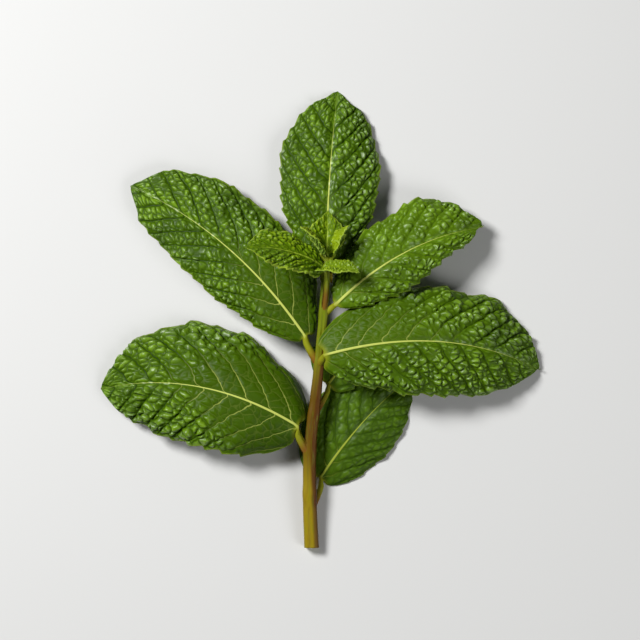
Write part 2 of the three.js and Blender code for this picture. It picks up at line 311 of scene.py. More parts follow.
class Tree:
    """Writes nodes into a tree, so that a formula reads as one."""

    def __init__(self, tree: bpy.types.NodeTree) -> None:
        """Starts on an existing tree."""
        self.tree = tree
        self.inputs: dict[str, Value] = {}

    @classmethod
    def group(cls, name: str, kind: str, inputs: dict[str, float | str], outputs: dict[str, str]) -> "Tree":
        """Makes a node group with named sockets.

        Args:
            name: the group's name.
            kind: GeometryNodeTree or ShaderNodeTree.
            inputs: each input's default number, or its socket kind where it isn't a number, by name.
            outputs: each output's socket kind, by name.

        Returns:
            The tree, with its inputs ready to use.
        """
        tree = bpy.data.node_groups.new(name, kind)
        for label, value in inputs.items():
            if isinstance(value, str):
                tree.interface.new_socket(label, in_out="INPUT", socket_type=value)
            else:
                made = tree.interface.new_socket(label, in_out="INPUT", socket_type="NodeSocketFloat")
                made.default_value = value
        for label, socket in outputs.items():
            tree.interface.new_socket(label, in_out="OUTPUT", socket_type=socket)
        writer = cls(tree)
        start = tree.nodes.new("NodeGroupInput")
        writer.inputs = {label: Value(writer, start.outputs[label]) for label in inputs}
        return writer

    def put(self, socket: bpy.types.NodeSocket, value: object) -> None:
        """Puts a value on a socket.

        Args:
            socket: an input socket of this tree.
            value: a Value, which is linked to it, or a constant.
        """
        if isinstance(value, Value):
            self.tree.links.new(value.socket, socket)
        else:
            socket.default_value = value

    def node(self, kind: str, inputs: dict[int | str, object], **settings: object) -> bpy.types.Node:
        """Adds a node.

        Args:
            kind: the node's type.
            inputs: what goes on its inputs, by name or by number.
            settings: its properties.

        Returns:
            The node.
        """
        made = self.tree.nodes.new(kind)
        for label, setting in settings.items():
            setattr(made, label, setting)
        for label, value in inputs.items():
            self.put(made.inputs[label], value)
        return made

    def out(self, output: int | str, kind: str, inputs: dict[int | str, object], **settings: object) -> Value:
        """Adds a node and hands back its output of that name or number."""
        return Value(self, self.node(kind, inputs, **settings).outputs[output])

    def math(self, operation: str, *terms: Term) -> Value:
        """One Math node."""
        return self.out(0, "ShaderNodeMath", dict(enumerate(terms)), operation=operation)

    def rise(self, value: Term, low: Term, high: Term) -> Value:
        """A smooth step from 0 at low to 1 at high."""
        inputs = {"Value": value, "From Min": low, "From Max": high}
        return self.out(0, "ShaderNodeMapRange", inputs, interpolation_type="SMOOTHSTEP")

    def blend(self, first: Term, second: Term, share: Term) -> Value:
        """From the first value to the second by a share."""
        return self.out(0, "ShaderNodeMix", {0: share, 2: first, 3: second}, data_type="FLOAT")

    def tint(self, first: object, second: object, share: Term) -> Value:
        """From the first colour to the second by a share."""
        return self.out(2, "ShaderNodeMix", {0: share, 6: first, 7: second}, data_type="RGBA")

    def vector(self, *terms: Term) -> Value:
        """Three values as one vector."""
        return self.out(0, "ShaderNodeCombineXYZ", dict(enumerate(terms)))

    def scaled(self, vector: Value, factor: Term) -> Value:
        """A vector times a value."""
        return self.out(0, "ShaderNodeVectorMath", {0: vector, "Scale": factor}, operation="SCALE")

    def noise(self, vector: Value, scale: Term, detail: float = 2.0, roughness: float = 0.5) -> Value:
        """Soft noise from 0 to 1."""
        inputs = {"Vector": vector, "Scale": scale, "Detail": detail, "Roughness": roughness}
        return self.out(0, "ShaderNodeTexNoise", inputs)

    def cells(self, vector: Value, scale: Term, uneven: Term, feature: str = "DISTANCE_TO_EDGE") -> Value:
        """How far a place is from the edge of its cell, or from the cell's middle."""
        inputs = {"Vector": vector, "Scale": scale, "Randomness": uneven}
        return self.out("Distance", "ShaderNodeTexVoronoi", inputs, feature=feature)

    def object_place(self) -> Value:
        """The place on the object, which the skins' patterns follow."""
        return self.out("Object", "ShaderNodeTexCoord", {})

    def mark(self, name: str, vector: bool = False) -> Value:
        """A named attribute of the surface.

        Args:
            name: the attribute.
            vector: whether it holds three values.

        Returns:
            Its value.
        """
        if isinstance(self.tree, bpy.types.ShaderNodeTree):
            return self.out("Vector" if vector else "Fac", "ShaderNodeAttribute", {}, attribute_name=name)
        kind = "FLOAT_VECTOR" if vector else "FLOAT"
        return self.out("Attribute", "GeometryNodeInputNamedAttribute", {"Name": name}, data_type=kind)

    def store(self, geometry: Value, name: str, value: Value, kind: str = "FLOAT") -> Value:
        """Geometry with a value stored as a named attribute."""
        inputs = {"Geometry": geometry, "Name": name, "Value": value}
        return self.out("Geometry", "GeometryNodeStoreNamedAttribute", inputs, data_type=kind, domain="POINT")

    def finish(self, outputs: dict[str, Value]) -> bpy.types.NodeTree:
        """Sends values to the group's outputs and hands back the finished tree."""
        self.node("NodeGroupOutput", outputs)
        return self.tree

    def use(self, group: bpy.types.NodeTree, inputs: dict[str, object]) -> dict[str, Value]:
        """Places a shader group in this tree and hands back its outputs by name."""
        made = self.node("ShaderNodeGroup", inputs, node_tree=group)
        return {socket.name: Value(self, socket) for socket in made.outputs}


def evaluate(piece: bpy.types.Object, tree: bpy.types.NodeTree, values: dict[str, object]) -> None:
    """Runs a Geometry Nodes tree on a piece and keeps the result as its plain mesh.

    Args:
        piece: the object whose mesh the tree changes.
        tree: the tree.
        values: what its inputs are set to, by name.
    """
    modifier = piece.modifiers.new(tree.name, "NODES")
    modifier.node_group = tree
    for item in tree.interface.items_tree:
        if item.in_out == "INPUT" and item.name in values:
            modifier[item.identifier] = values[item.name]
    graph = bpy.context.evaluated_depsgraph_get()
    made = bpy.data.meshes.new_from_object(piece.evaluated_get(graph), depsgraph=graph)
    piece.modifiers.clear()
    old = piece.data
    piece.data = made
    bpy.data.meshes.remove(old)
    made.name = piece.name


# -------------------------------------------------------------------------------------------- quilting


@dataclass(frozen=True)
class Quilting:
    """How a leaf puckers between its veins. Sizes are in millimetres.

    Attributes:
        spacing: between the side veins, along the midrib.
        slant: how far a side vein runs forward for each millimetre outwards, where it leaves the midrib.
        curve: half of how much more it runs forward by the time it reaches the edge.
        height: how high the pillows stand.
        cell: the length of a pillow.
        rows: pillows side by side between two side veins.
        puff: how far the pillows stand out of their bands, from 0 to 1.
        groove: half the width of a vein's groove.
        flat: the share of the pillows' height that is left at the leaf's base.
        bare: how far along the leaf its left half is still flat.
        bare_right: the same for its right half.
        midrib: how deep the midrib's furrow is.
    """

    spacing: float = 6.4
    slant: float = 0.72
    curve: float = 0.42
    height: float = 1.0
    cell: float = 2.4
    rows: float = 1.6
    puff: float = 0.7
    groove: float = 0.4
    flat: float = 0.15
    bare: float = 0.3
    bare_right: float = 0.3
    midrib: float = 0.5

    def inputs(self, seed: float) -> dict[str, float]:
        """What the quilting tree's inputs are set to, by name."""
        sizes = {field.name.replace("_", " ").title(): getattr(self, field.name) for field in fields(self)}
        return sizes | {"Seed": seed}


CELL_UNEVEN = 0.85  # how irregular the pillows are, in the mesh and in the skin alike
VEIN_WANDER = 2.6  # how far the side veins stray in broad bends, in millimetres
VEIN_JITTER = 1.8  # the same, in small kinks
VEIN_STAGGER = 0.17  # how far each half's side veins are ahead or behind, as a share of their spacing
PILLOW_SIDE = 0.42  # where a pillow's side ends and its top begins, as a share of its cell
PILLOW_ROUND = 1.8  # how full a pillow is
RIM_FLAT = 0.88  # how much of the quilting is lost at the blade's edge
TIP_FLAT = 0.7  # the same, at its tip
GROWING = 0.45  # the share of the leaf over which its pillows grow
UNDER_RIB = 0.5  # how far the midrib stands out underneath, in millimetres
UNDER_VEIN = 0.16  # the same, for the side veins


def quilting_tree() -> bpy.types.NodeTree:
    """Makes the tree that raises a leaf's pillows, sinks its veins and marks both for the materials.

    Returns:
        The tree. It reads the marks along, across, reach, share, over and lift. It writes order, a whole
        number at each side vein, weave, where the pillows' cells are cut, pillow, their height, and grown,
        how much of it the leaf has there.
    """
    inputs = {"Geometry": "NodeSocketGeometry"} | Quilting().inputs(0.0) | {"Finish": "NodeSocketMaterial"}
    tree = Tree.group("quilting", "GeometryNodeTree", inputs, {"Geometry": "NodeSocketGeometry"})
    size = tree.inputs
    along, across, reach, share, over = map(tree.mark, ("along", "across", "reach", "share", "over"))
    out = tree.math("ABSOLUTE", across)
    hand = tree.rise(across, -0.9, 0.9) * 2.0 - 1.0

    def chance(layer: float, scale: float) -> Value:
        """Noise over the blade, of the leaf's own."""
        return tree.noise(tree.vector(along, across, size["Seed"] + layer), scale)

    # Side veins: lines of whole numbers, bent forward towards the edge, those of one side a little ahead.
    lean = size["Slant"] + size["Curve"] * reach
    stray = (chance(0.0, 0.11) - 0.5) * VEIN_WANDER + (chance(2.0, 0.45) - 0.5) * VEIN_JITTER
    order = (along - (out * lean + stray)) / size["Spacing"] + hand * VEIN_STAGGER + size["Seed"]
    part = tree.math("FRACT", order)
    aside = tree.math("MINIMUM", part, 1.0 - part) * size["Spacing"] * 0.75
    bank = tree.rise(aside, size["Groove"] * 0.15, size["Groove"] * 1.6)

    # Pillows: uneven cells in rows between the side veins.
    bend = (chance(9.0, 0.5) - 0.5) * 0.7
    outwards = (along * lean + out) / tree.math("SQRT", lean * lean + 1.0)
    layer = size["Seed"] * 3.7 + hand * 4.0
    weave = tree.vector(order * size["Rows"] + bend, outwards / size["Cell"] + bend, layer)
    swell = tree.rise(tree.cells(weave, 1.0, CELL_UNEVEN), 0.0, PILLOW_SIDE)
    pillow = 1.0 - tree.math("POWER", 1.0 - swell, PILLOW_ROUND)
    band = tree.math("POWER", tree.math("SINE", part * math.pi), 0.7)
    uneven = chance(5.0, 0.3) * 1.6 + 0.2

    # The pillows grow from the base to the tip and from the midrib to the edge.
    bare = tree.blend(size["Bare Right"], size["Bare"], tree.rise(across, -1.5, 1.5))
    grown = tree.blend(size["Flat"], 1.0, tree.rise(share + reach * 0.4, bare, bare + GROWING))
    beside = tree.rise(out, 0.2, 2.6) * 0.75 + 0.25
    rim = (1.0 - tree.rise(reach, 0.8, 1.0) * RIM_FLAT) * (1.0 - tree.rise(share, 0.88, 1.0) * TIP_FLAT)
    rise = bank * uneven * (pillow * size["Puff"] + 0.08) + band * (0.98 - size["Puff"])
    height = size["Height"] * grown * beside * rim * rise

    # The midrib: a ridge at the base, a furrow from there on.
    ridge = (1.0 - tree.rise(out, 0.1, 0.75)) * tree.blend(0.3, 0.0, tree.rise(share, 0.1, 0.5))
    trough = (1.0 - tree.rise(out, 0.0, 1.4)) * size["Midrib"] * tree.rise(share, 0.15, 0.55)
    height = height + ridge - trough

    # Underneath, the same veins stand out as ribs.
    rib = (1.0 - tree.rise(out, 0.2, 1.0)) * UNDER_RIB * (1.0 - share)
    below = rib + (1.0 - bank) * UNDER_VEIN + (1.0 - swell) * grown * 0.06
    height = (height - (1.0 - over) * below) * tree.rise(along, 0.0, 2.0)

    offset = tree.scaled(tree.mark("lift", vector=True), height * MM)
    raised = {"Geometry": size["Geometry"], "Offset": offset}
    geometry = tree.out("Geometry", "GeometryNodeSetPosition", raised)
    geometry = tree.store(geometry, "order", order)
    geometry = tree.store(geometry, "weave", weave, "FLOAT_VECTOR")
    geometry = tree.store(geometry, "pillow", rise * grown)
    geometry = tree.store(geometry, "grown", grown)
    plain = tree.out("Geometry", "GeometryNodeRealizeInstances", {"Geometry": geometry})
    dressed = {"Geometry": plain, "Material": size["Finish"]}
    return tree.finish({"Geometry": tree.out("Geometry", "GeometryNodeSetMaterial", dressed)})


# -------------------------------------------------------------------------------------------- finishes

Colour = tuple[float, float, float, float]


def srgb(*screen: int) -> Colour:
    """A colour from its red, green and blue on a screen."""
    parts = [channel / 255 for channel in screen]
    return (*(c / 12.92 if c <= 0.04045 else ((c + 0.055) / 1.055) ** 2.4 for c in parts), 1.0)


def mottle_group() -> bpy.types.NodeTree:
    """Makes the group that gives a surface its broad and fine unevenness of tone.

    Returns:
        The group. Its Tone is about 0.5, within 0 and 1.
    """
    inputs = {"Broad": 90.0, "Fine": 700.0, "Strength": 0.5}
    tree = Tree.group("mottle", "ShaderNodeTree", inputs, {"Tone": "NodeSocketFloat"})
    place = tree.object_place()
    broad = tree.noise(place, tree.inputs["Broad"], 3.0, 0.55)
    fine = tree.noise(place, tree.inputs["Fine"], 3.0, 0.6)
    tone = (broad * 0.65 + fine * 0.35 - 0.5) * tree.inputs["Strength"] * 2.0 + 0.5
    return tree.finish({"Tone": tree.math("MINIMUM", tree.math("MAXIMUM", tone, 0.0), 1.0)})


def grain_group() -> bpy.types.NodeTree:
    """Makes the group that gives a surface its fine cells and pits.

    Returns:
        The group. Its Height is from 0 to 1.
    """
    inputs = {"Cell": 2600.0, "Pit": 900.0}
    tree = Tree.group("grain", "ShaderNodeTree", inputs, {"Height": "NodeSocketFloat"})
    place = tree.object_place()
    cell = tree.cells(place, tree.inputs["Cell"], 1.0, "F1")
    pit = tree.rise(tree.cells(place, tree.inputs["Pit"], 1.0, "F1"), 0.0, 0.3)
    return tree.finish({"Height": (1.0 - cell) * 0.5 + pit * 0.5})


def venation_group() -> bpy.types.NodeTree:
    """Makes the group that draws a leaf's veins from the marks order and weave, as crisp lines.

    Returns:
        The group. Vein is 1 on a side vein, Net on the lines between pillows, and Furrow Shade is where the
        skin paints shade, deep between them.
    """
    outputs = {label: "NodeSocketFloat" for label in ("Vein", "Net", "Valley")}
    tree = Tree.group("venation", "ShaderNodeTree", {"Width": 0.04, "Net Width": 0.06}, outputs)
    part = tree.math("FRACT", tree.mark("order"))
    aside = tree.math("MINIMUM", part, 1.0 - part)
    edge = tree.cells(tree.mark("weave", vector=True), 1.0, CELL_UNEVEN)
    width, net = tree.inputs["Width"], tree.inputs["Net Width"]
    # Where the skin paints shade: along the side veins, and more weakly at the pillows' edges.
    between = (1.0 - tree.rise(edge, 0.0, 0.24)) * 0.62
    valley_shade = tree.math("MAXIMUM", 1.0 - tree.rise(aside, 0.0, 0.09), between)
    vein = 1.0 - tree.rise(aside, width * 0.4, width)
    return tree.finish({"Vein": vein, "Net": 1.0 - tree.rise(edge, net * 0.3, net), "Valley": valley_shade})


@dataclass(frozen=True)
class Effects:
    """The node groups that the finishes share.

    Attributes:
        mottle: unevenness of tone.
        grain: fine cells and pits.
        venation: the lines of the veins.
    """

    mottle: bpy.types.NodeTree
    grain: bpy.types.NodeTree
    venation: bpy.types.NodeTree

    @classmethod
    def make(cls) -> "Effects":
        """Builds each group once."""
        return cls(mottle_group(), grain_group(), venation_group())


@dataclass(frozen=True)
class Finish:
    """What every finish has.

    Attributes:
        name: the material's name.
        roughness: how dull the surface is, before its tone varies it.
        gloss: its specular level.
        grain_depth: of the finest grain, in millimetres.
    """

    name: str
    roughness: float
    gloss: float
    grain_depth: float

    def start(self) -> tuple[bpy.types.Material, Tree, bpy.types.Node]:
        """Makes an empty material.

        Returns:
            The material, a writer for its tree and its shader.
        """
        material = bpy.data.materials.new(self.name)
        material.use_nodes = True
        shader = material.node_tree.nodes["Principled BSDF"]
        shader.inputs["Specular IOR Level"].default_value = self.gloss
        return material, Tree(material.node_tree), shader

    def bump(self, tree: Tree, shader: bpy.types.Node, height: Value) -> None:
        """Sends a height to the shader's normal."""
        inputs = {"Height": height, "Distance": self.grain_depth * MM, "Strength": 1.0}
        tree.put(shader.inputs["Normal"], tree.out("Normal", "ShaderNodeBump", inputs))


@dataclass(frozen=True)
class LeafSkin(Finish):
    """The skin of a leaf: painted shade in its furrows, a painted highlight on its pillows, with pale veins
    near the petiole.

    Attributes:
        furrow: the dark green of the painted shade between the pillows, also of the darker patches of tone.
        bare: where the leaf is flat, at its base.
        body: on the sides of the pillows.
        crest: the painted highlight on top of them, also the lighter green of leaves marked fresh.
        vein: of the midrib and of the side veins at the base.
        edge: of the very margin.
        under: underneath.
        under_vein: of the ribs underneath.
        petiole: of its stalk.
        flush: of the stalk where it leaves the stem.
        edge_from: where the margin's colour starts, as a share of the half's width.
        wax: how strongly the pillows shine.
        wax_roughness: how soft that shine is.
    """

    furrow: Colour
    bare: Colour
    body: Colour
    crest: Colour
    vein: Colour
    edge: Colour
    under: Colour
    under_vein: Colour
    petiole: Colour
    flush: Colour
    edge_from: float
    wax: float
    wax_roughness: float

    def make(self, effects: Effects) -> bpy.types.Material:
        """Builds the material.

        Args:
            effects: the shared node groups.

        Returns:
            The material.
        """
        material, tree, shader = self.start()
        tone = tree.use(effects.mottle, {"Broad": 110.0, "Fine": 800.0, "Strength": 0.75})["Tone"]
        lines = tree.use(effects.venation, {"Width": 0.034, "Net Width": 0.07})
        pillow, along, across = map(tree.mark, ("pillow", "along", "across"))
        share, reach, over, grown = map(tree.mark, ("share", "reach", "over", "grown"))

        base = tree.tint(self.bare, self.body, grown * 0.9 + 0.1)
        # Painted shade: the furrow colour laid into the valleys along the side veins and between the pillows.
        base = tree.tint(base, self.furrow, lines["Valley"] * (grown * 0.85 + 0.04))
        # Painted highlight: the crest colour on the pillows' tops, uneven with the tone.
        base = tree.tint(base, self.crest, tree.rise(pillow, 0.3, 0.95) * tree.rise(tone, 0.25, 0.8) * 0.7)
        # fresh: a young leaf's own lighter green, and painted light on leaves that stand more in the light.
        base = tree.tint(base, self.crest, tree.mark("fresh") * 0.6)
        base = tree.tint(base, self.furrow, tree.rise(0.62 - tone, 0.0, 0.45) * 0.35)

        # The side veins are pale only where the blade is still flat, and the midrib nearly to the tip.
        flat = (1.0 - grown) * (1.0 - tree.rise(share, 0.5, 0.9))
        pale = (lines["Vein"] * 0.55 + lines["Net"] * 0.08) * (1.0 - reach * 0.5)
        base = tree.tint(base, self.vein, flat * pale)
        base = tree.tint(base, self.edge, tree.rise(reach, self.edge_from, 1.0) * 0.65)
        half = tree.blend(0.42, 0.08, tree.rise(share, -0.05, 0.75))
        rib = 1.0 - tree.rise(tree.math("ABSOLUTE", across), half * 0.55, half)
        base = tree.tint(base, self.vein, rib * (1.0 - tree.rise(share, 0.62, 0.98) * 0.85) * 0.9)

        below = tree.tint(self.under, self.under_vein, tree.math("MAXIMUM", rib, lines["Vein"] * 0.8))
        below = tree.tint(below, self.furrow, (1.0 - tone) * 0.2)
        skin = tree.tint(below, base, over)
        stalk = tree.tint(self.petiole, self.flush, 1.0 - tree.rise(along + tone * 2.0, -6.5, -1.5))
        tree.put(shader.inputs["Base Color"], tree.tint(skin, stalk, 1.0 - tree.rise(along, -0.5, 1.5)))

        tree.put(shader.inputs["Roughness"], (0.5 - tone) * 0.14 + self.roughness + (1.0 - over) * 0.2)
        wax = tree.rise(pillow, 0.3, 0.8) * 0.9 + 0.1
        tree.put(shader.inputs["Coat Weight"], wax * over * self.wax)
        shader.inputs["Coat Roughness"].default_value = self.wax_roughness
        self.bump(tree, shader, tree.use(effects.grain, {"Cell": 2300.0, "Pit": 1100.0})["Height"])
        return material


@dataclass(frozen=True)
class StemSkin(Finish):
    """The skin of the stem: green above, olive near the cut, flushed red-brown down one side and halfway up.

    Attributes:
        green: colour of its upper part.
        olive: of its lower part.
        flush: the dark red-brown down its right side, at its nodes and over its middle stretch.
        pith: inside the cut.
    """

    green: Colour
    olive: Colour
    flush: Colour
    pith: Colour

    def make(self, effects: Effects) -> bpy.types.Material:
        """Builds the material.

        Args:
            effects: the shared node groups.

        Returns:
            The material.
        """
        material, tree, shader = self.start()
        tone = tree.use(effects.mottle, {"Broad": 160.0, "Fine": 900.0, "Strength": 0.8})["Tone"]
        share, turn, joint, core = map(tree.mark, ("share", "turn", "joint", "core"))
        stretch = {"Vector": tree.object_place(), "Scale": Vector((1.0, 0.06, 1.0))}
        streak = tree.noise(tree.out(0, "ShaderNodeMapping", stretch), 1500.0, 3.0, 0.6)

        base = tree.tint(self.olive, self.green, tree.rise(share + (tone - 0.5) * 0.25, 0.4, 0.85))
        middle = tree.rise(share, 0.12, 0.4) * (1.0 - tree.rise(share, 0.5, 0.75))
        red = turn * (1.0 - tree.rise(share, 0.55, 0.95) * 0.75) * 0.7 + joint * turn * 0.3 + middle * 0.68
        base = tree.tint(base, self.flush, tree.rise(red + (streak - 0.5) * 0.5, 0.05, 0.9) * 0.92)
        base = tree.tint(base, self.green, tree.rise(streak, 0.5, 0.75) * 0.4)
        base = tree.tint(base, self.flush, tree.rise(0.6 - streak, 0.05, 0.3) * 0.25)
        tree.put(shader.inputs["Base Color"], tree.tint(base, self.pith, core))
        tree.put(shader.inputs["Roughness"], self.roughness + (tone - 0.5) * 0.2 + core * 0.25)
        grain = tree.use(effects.grain, {"Cell": 2600.0, "Pit": 1300.0})["Height"]
        self.bump(tree, shader, grain * 0.4 + streak * 0.6)
        return material


LEAF = LeafSkin(
    name="leaf_skin",
    roughness=0.55,
    gloss=0.06,
    grain_depth=0.05,
    furrow=srgb(16, 40, 0),
    bare=srgb(45, 69, 0),
    body=srgb(76, 108, 0),
    crest=srgb(122, 160, 22),
    vein=srgb(188, 196, 96),
    edge=srgb(124, 146, 40),
    under=srgb(112, 142, 62),
    under_vein=srgb(168, 182, 104),
    petiole=srgb(134, 138, 26),
    flush=srgb(122, 82, 24),
    edge_from=0.955,
    wax=1.0,
    wax_roughness=0.4,
)
# The skin of the low leaves: an older leaf's duller olive green, darkened further as painted shade, for
# leaves that lie in shade.
OLD = LeafSkin(
    name="old_leaf_skin",
    roughness=0.6,
    gloss=0.08,
    grain_depth=0.05,
    furrow=srgb(36, 60, 0),
    bare=srgb(56, 82, 0),
    body=srgb(60, 88, 0),
    crest=srgb(82, 114, 8),
    vein=srgb(150, 160, 54),
    edge=srgb(112, 132, 36),
    under=srgb(108, 136, 58),
    under_vein=srgb(160, 172, 96),
    petiole=srgb(136, 138, 30),
    flush=srgb(112, 66, 26),
    edge_from=0.965,
    wax=0.2,
    wax_roughness=0.42,
)
YOUNG = LeafSkin(
    name="young_leaf_skin",
    roughness=0.5,
    gloss=0.1,
    grain_depth=0.04,
    furrow=srgb(34, 62, 0),
    bare=srgb(76, 110, 0),
    body=srgb(82, 116, 0),
    crest=srgb(152, 174, 20),
    vein=srgb(150, 172, 50),
    edge=srgb(158, 178, 56),
    under=srgb(124, 154, 54),
    under_vein=srgb(168, 188, 90),
    petiole=srgb(132, 146, 30),
    flush=srgb(116, 84, 24),
    edge_from=0.87,
    wax=0.35,
    wax_roughness=0.34,
)
STEM = StemSkin(
    name="stem_skin",
    roughness=0.5,
    gloss=0.14,
    grain_depth=0.06,
    green=srgb(104, 120, 8),
    olive=srgb(138, 120, 14),
    flush=srgb(72, 32, 2),
    pith=srgb(200, 206, 150),
)

# ---------------------------------------------------------------------------------------------- leaves


class Age(Enum):
    """How far a leaf has grown."""

    # The lowest leaves, whose skin is both older and darkened with painted shade.
    OLD = "old"
    GROWN = "grown"
    YOUNG = "young"

    @property
    def slot(self) -> str:
        """The record's material slot."""
        return "young_leaf" if self is Age.YOUNG else "leaf"


class Side(Enum):
    """A leaf's half, seen from above with its tip pointing away."""

    LEFT = 0
    RIGHT = 1


LEFT, RIGHT = Side


class Bulge(NamedTuple):
    """A stretch of a leaf's edge that swells or draws in.

    Attributes:
        side: which edge.
        middle: where it is, as a share of the blade's length.
        swell: how far the edge comes out, in millimetres, or draws in, below 0.
        width: half its length, as a share of the blade's.
    """

    side: Side
    middle: float
    swell: float
    width: float


Move = tuple[float, float, float]


@dataclass(frozen=True)
class Leaf:
    """One leaf with its petiole. Sizes are in millimetres.

    Attributes:
        node: the CAD node that it stands for.
        age: how far it has grown.
        quilting: how it puckers.
        seed: picks its own unevenness.
        thickness: of the blade.
        teeth: along each edge.
        tooth: how far a tooth stands out.
        ripple: how far the edge waves up and down.
        grid: the size of the mesh's cells.
        bulges: where its outline differs from the CAD.
        point: how far from the tip the blade starts to narrow to its point.
        tip: how far the point is drawn out.
        fresh: how light and yellow its green is, from 0 to 1: partly a young leaf's own colour, partly
            painted light on a leaf that stands more in the light.
        turned: how far it is turned about its own length from the CAD, in degrees.
        base_moved: how far the blade's base is moved from the CAD.
        tip_moved: the same for its tip.
    """

    node: str
    age: Age
    quilting: Quilting
    seed: int
    thickness: float = 0.32
    teeth: int = 13
    tooth: float = 0.75
    ripple: float = 0.5
    grid: float = 0.27
    bulges: tuple[Bulge, ...] = ()
    point: float = 4.0
    tip: float = 0.8
    fresh: float = 0.0
    turned: float = 0.0
    base_moved: Move = (0.0, 0.0, 0.0)
    tip_moved: Move = (0.0, 0.0, 0.0)

    RING = 18  # points round the CAD solid, half of them on top
    HALF_RING = RING // 2
    CENTRE = HALF_RING // 2  # the midrib's place across, and how many steps each half has
    PETIOLE_RINGS = 5
    BLADE_RINGS = 16
    ROOT_RINGS = 9  # of the visible petiole
    ROOT_DROP = 0.9  # how far down the stem it ends, as a share of its distance from the stem's middle
    ROOT_FLARE = 1.35  # how much wider it is there
    BEND = 0.2  # how stiffly it leaves the blade
    EDGE_THIN = 0.55  # how much thinner the blade is at its edge
    SHEET_GAP = 0.05  # how far the blade stays off the surface before it is quilted
    LAST_STEPS = 4  # this many even steps before the tip
    TIP_RINGS = 14  # hold this many rings instead, where the blade comes to its point
    TIP_AHEAD = 12  # how many fine rings from the tip give the direction in which it is drawn out
    SPINE_STEPS = 1200  # for measuring along the midrib
    FEWEST_RINGS = 60
    FEWEST_ACROSS = 24
    TOOTH_BACK = 0.8  # the share of a tooth that is its long side
    LONG_AS_WIDE = 1.7  # about how many times as long as wide a blade is
    SEED_STEP = 1.37  # how far apart two leaves' quilting patterns are, for each whole seed
    WAVE = 2.1  # how long a ripple of the edge is, in vein spacings

    def read(self, stem: "Stem") -> Loft:
        """The leaf's rings, from its root on the stem to its tip."""
        return Loft.read(self.node, self.RING, stem.line)

    def build(
        self, loft: Loft, stem: "Stem", tree: bpy.types.NodeTree, skin: bpy.types.Material
    ) -> bpy.types.Object:
        """Makes the leaf.

        Args:
            loft: its rings, as read.
            stem: where its petiole joins.
            tree: the quilting.
            skin: its material.

        Returns:
            The finished piece.
        """
        rings = self._rooted(loft, stem)
        first = len(rings) - self.BLADE_RINGS
        top = rings[:, : self.HALF_RING]
        bottom = rings[:, : self.HALF_RING - 1 : -1]
        rows, lengthwise = self._stations(0.5 * (top + bottom)[:, self.CENTRE], first)
        upper, lower = along_rows(top, rows), along_rows(bottom, rows)
        middle = 0.5 * (upper + lower)
        # The CAD rib pulls the middle down: put it back between its neighbours' thickness.
        depth = upper - lower
        middle[:, self.CENTRE] = upper[:, self.CENTRE] - 0.25 * (
            depth[:, self.CENTRE - 1] + depth[:, self.CENTRE + 1]
        )

        share = np.clip(lengthwise / lengthwise[-1], 0.0, 1.0)
        widths = np.linalg.norm(np.diff(middle, axis=1), axis=-1) / MM
        halves = widths.reshape(len(rows), 2, self.CENTRE).sum(axis=2)
        columns = self._columns(share, halves)
        sheet = self._across(middle, columns)
        normal = self._normals(sheet)
        outward = np.abs(columns) / self.CENTRE
        thick = 0.5 * self.thickness * MM * (1.0 - self.EDGE_THIN * smooth(outward, 0.9, 1.0))[..., None]
        ripple = self._ripple(lengthwise, outward, columns)
        bladed = smooth(rows, first - 1.0, first + 0.6)[:, None, None]
        over = bladed * (sheet + normal * (thick + ripple)) + (1 - bladed) * self._across(upper, columns)
        under = bladed * (sheet - normal * (thick - ripple)) + (1 - bladed) * self._across(lower, columns)
        ahead = unit(middle[-1, self.CENTRE] - middle[-self.TIP_AHEAD, self.CENTRE]) * self.tip * MM
        near_tip = np.clip(1.0 - (lengthwise[-1] - lengthwise) / self.point, 0.0, 1.0)
        drawn = (near_tip**2)[:, None, None] * ahead

        rings = np.concatenate([over + drawn, (under + drawn)[:, ::-1]], axis=1)
        rings[..., 2] = np.maximum(rings[..., 2], self.SHEET_GAP * MM)
        across = -columns / self.CENTRE * np.where(columns < 0, halves[:, :1], halves[:, 1:])
        even = np.abs(np.linspace(-1.0, 1.0, columns.shape[1]))
        marks = {
            "along": lengthwise[:, None],
            "across": np.concatenate([across, across[:, ::-1]], axis=1),
            "reach": np.concatenate([even, even[::-1]]),
            "fresh": self.fresh,
            "share": share[:, None],
            "over": np.repeat([1.0, 0.0], columns.shape[1]),
            "lift": np.concatenate([normal, normal[:, ::-1]], axis=1),
        }
        piece = shell(self.node + "_blade", rings, marks)
        evaluate(piece, tree, self.quilting.inputs(self.seed * self.SEED_STEP) | {"Finish": skin})
        self._keep_off_floor(piece)
        return piece

    def _rooted(self, loft: Loft, stem: "Stem") -> np.ndarray:
        """Carries the petiole from the blade down into the stem in one bend, growing wider.

        Args:
            loft: the leaf as read.
            stem: the stem.

        Returns:
            All rings, with the petiole's first ones replaced.
        """
        kept = self._moved(loft.rings[self.PETIOLE_RINGS - 2 :])
        start = kept[0].mean(axis=0)
        ahead = unit(kept[1].mean(axis=0) - start)
        root = loft.middles[0]
        gap = float(np.linalg.norm(stem.level(root[1]) - root))
        end = stem.level(root[1] - self.ROOT_DROP * gap)
        bend = start - ahead * float(np.linalg.norm(end - start)) * self.BEND
        section = loft.rings[2] - loft.middles[2]
        was = Vector(unit(loft.middles[3] - loft.middles[1]))
        added = []
        for step in np.linspace(1.0, 0.0, self.ROOT_RINGS, endpoint=False):
            middle = (1 - step) ** 2 * start + 2 * step * (1 - step) * bend + step**2 * end
            towards = unit((1 - step) * (start - bend) + step * (bend - end))
            turn = np.array(was.rotation_difference(Vector(towards)).to_matrix())
            flare = 1.0 + (self.ROOT_FLARE - 1.0) * step**2
            added.append(middle + section @ turn.T * flare)
        return np.concatenate([np.array(added), kept])

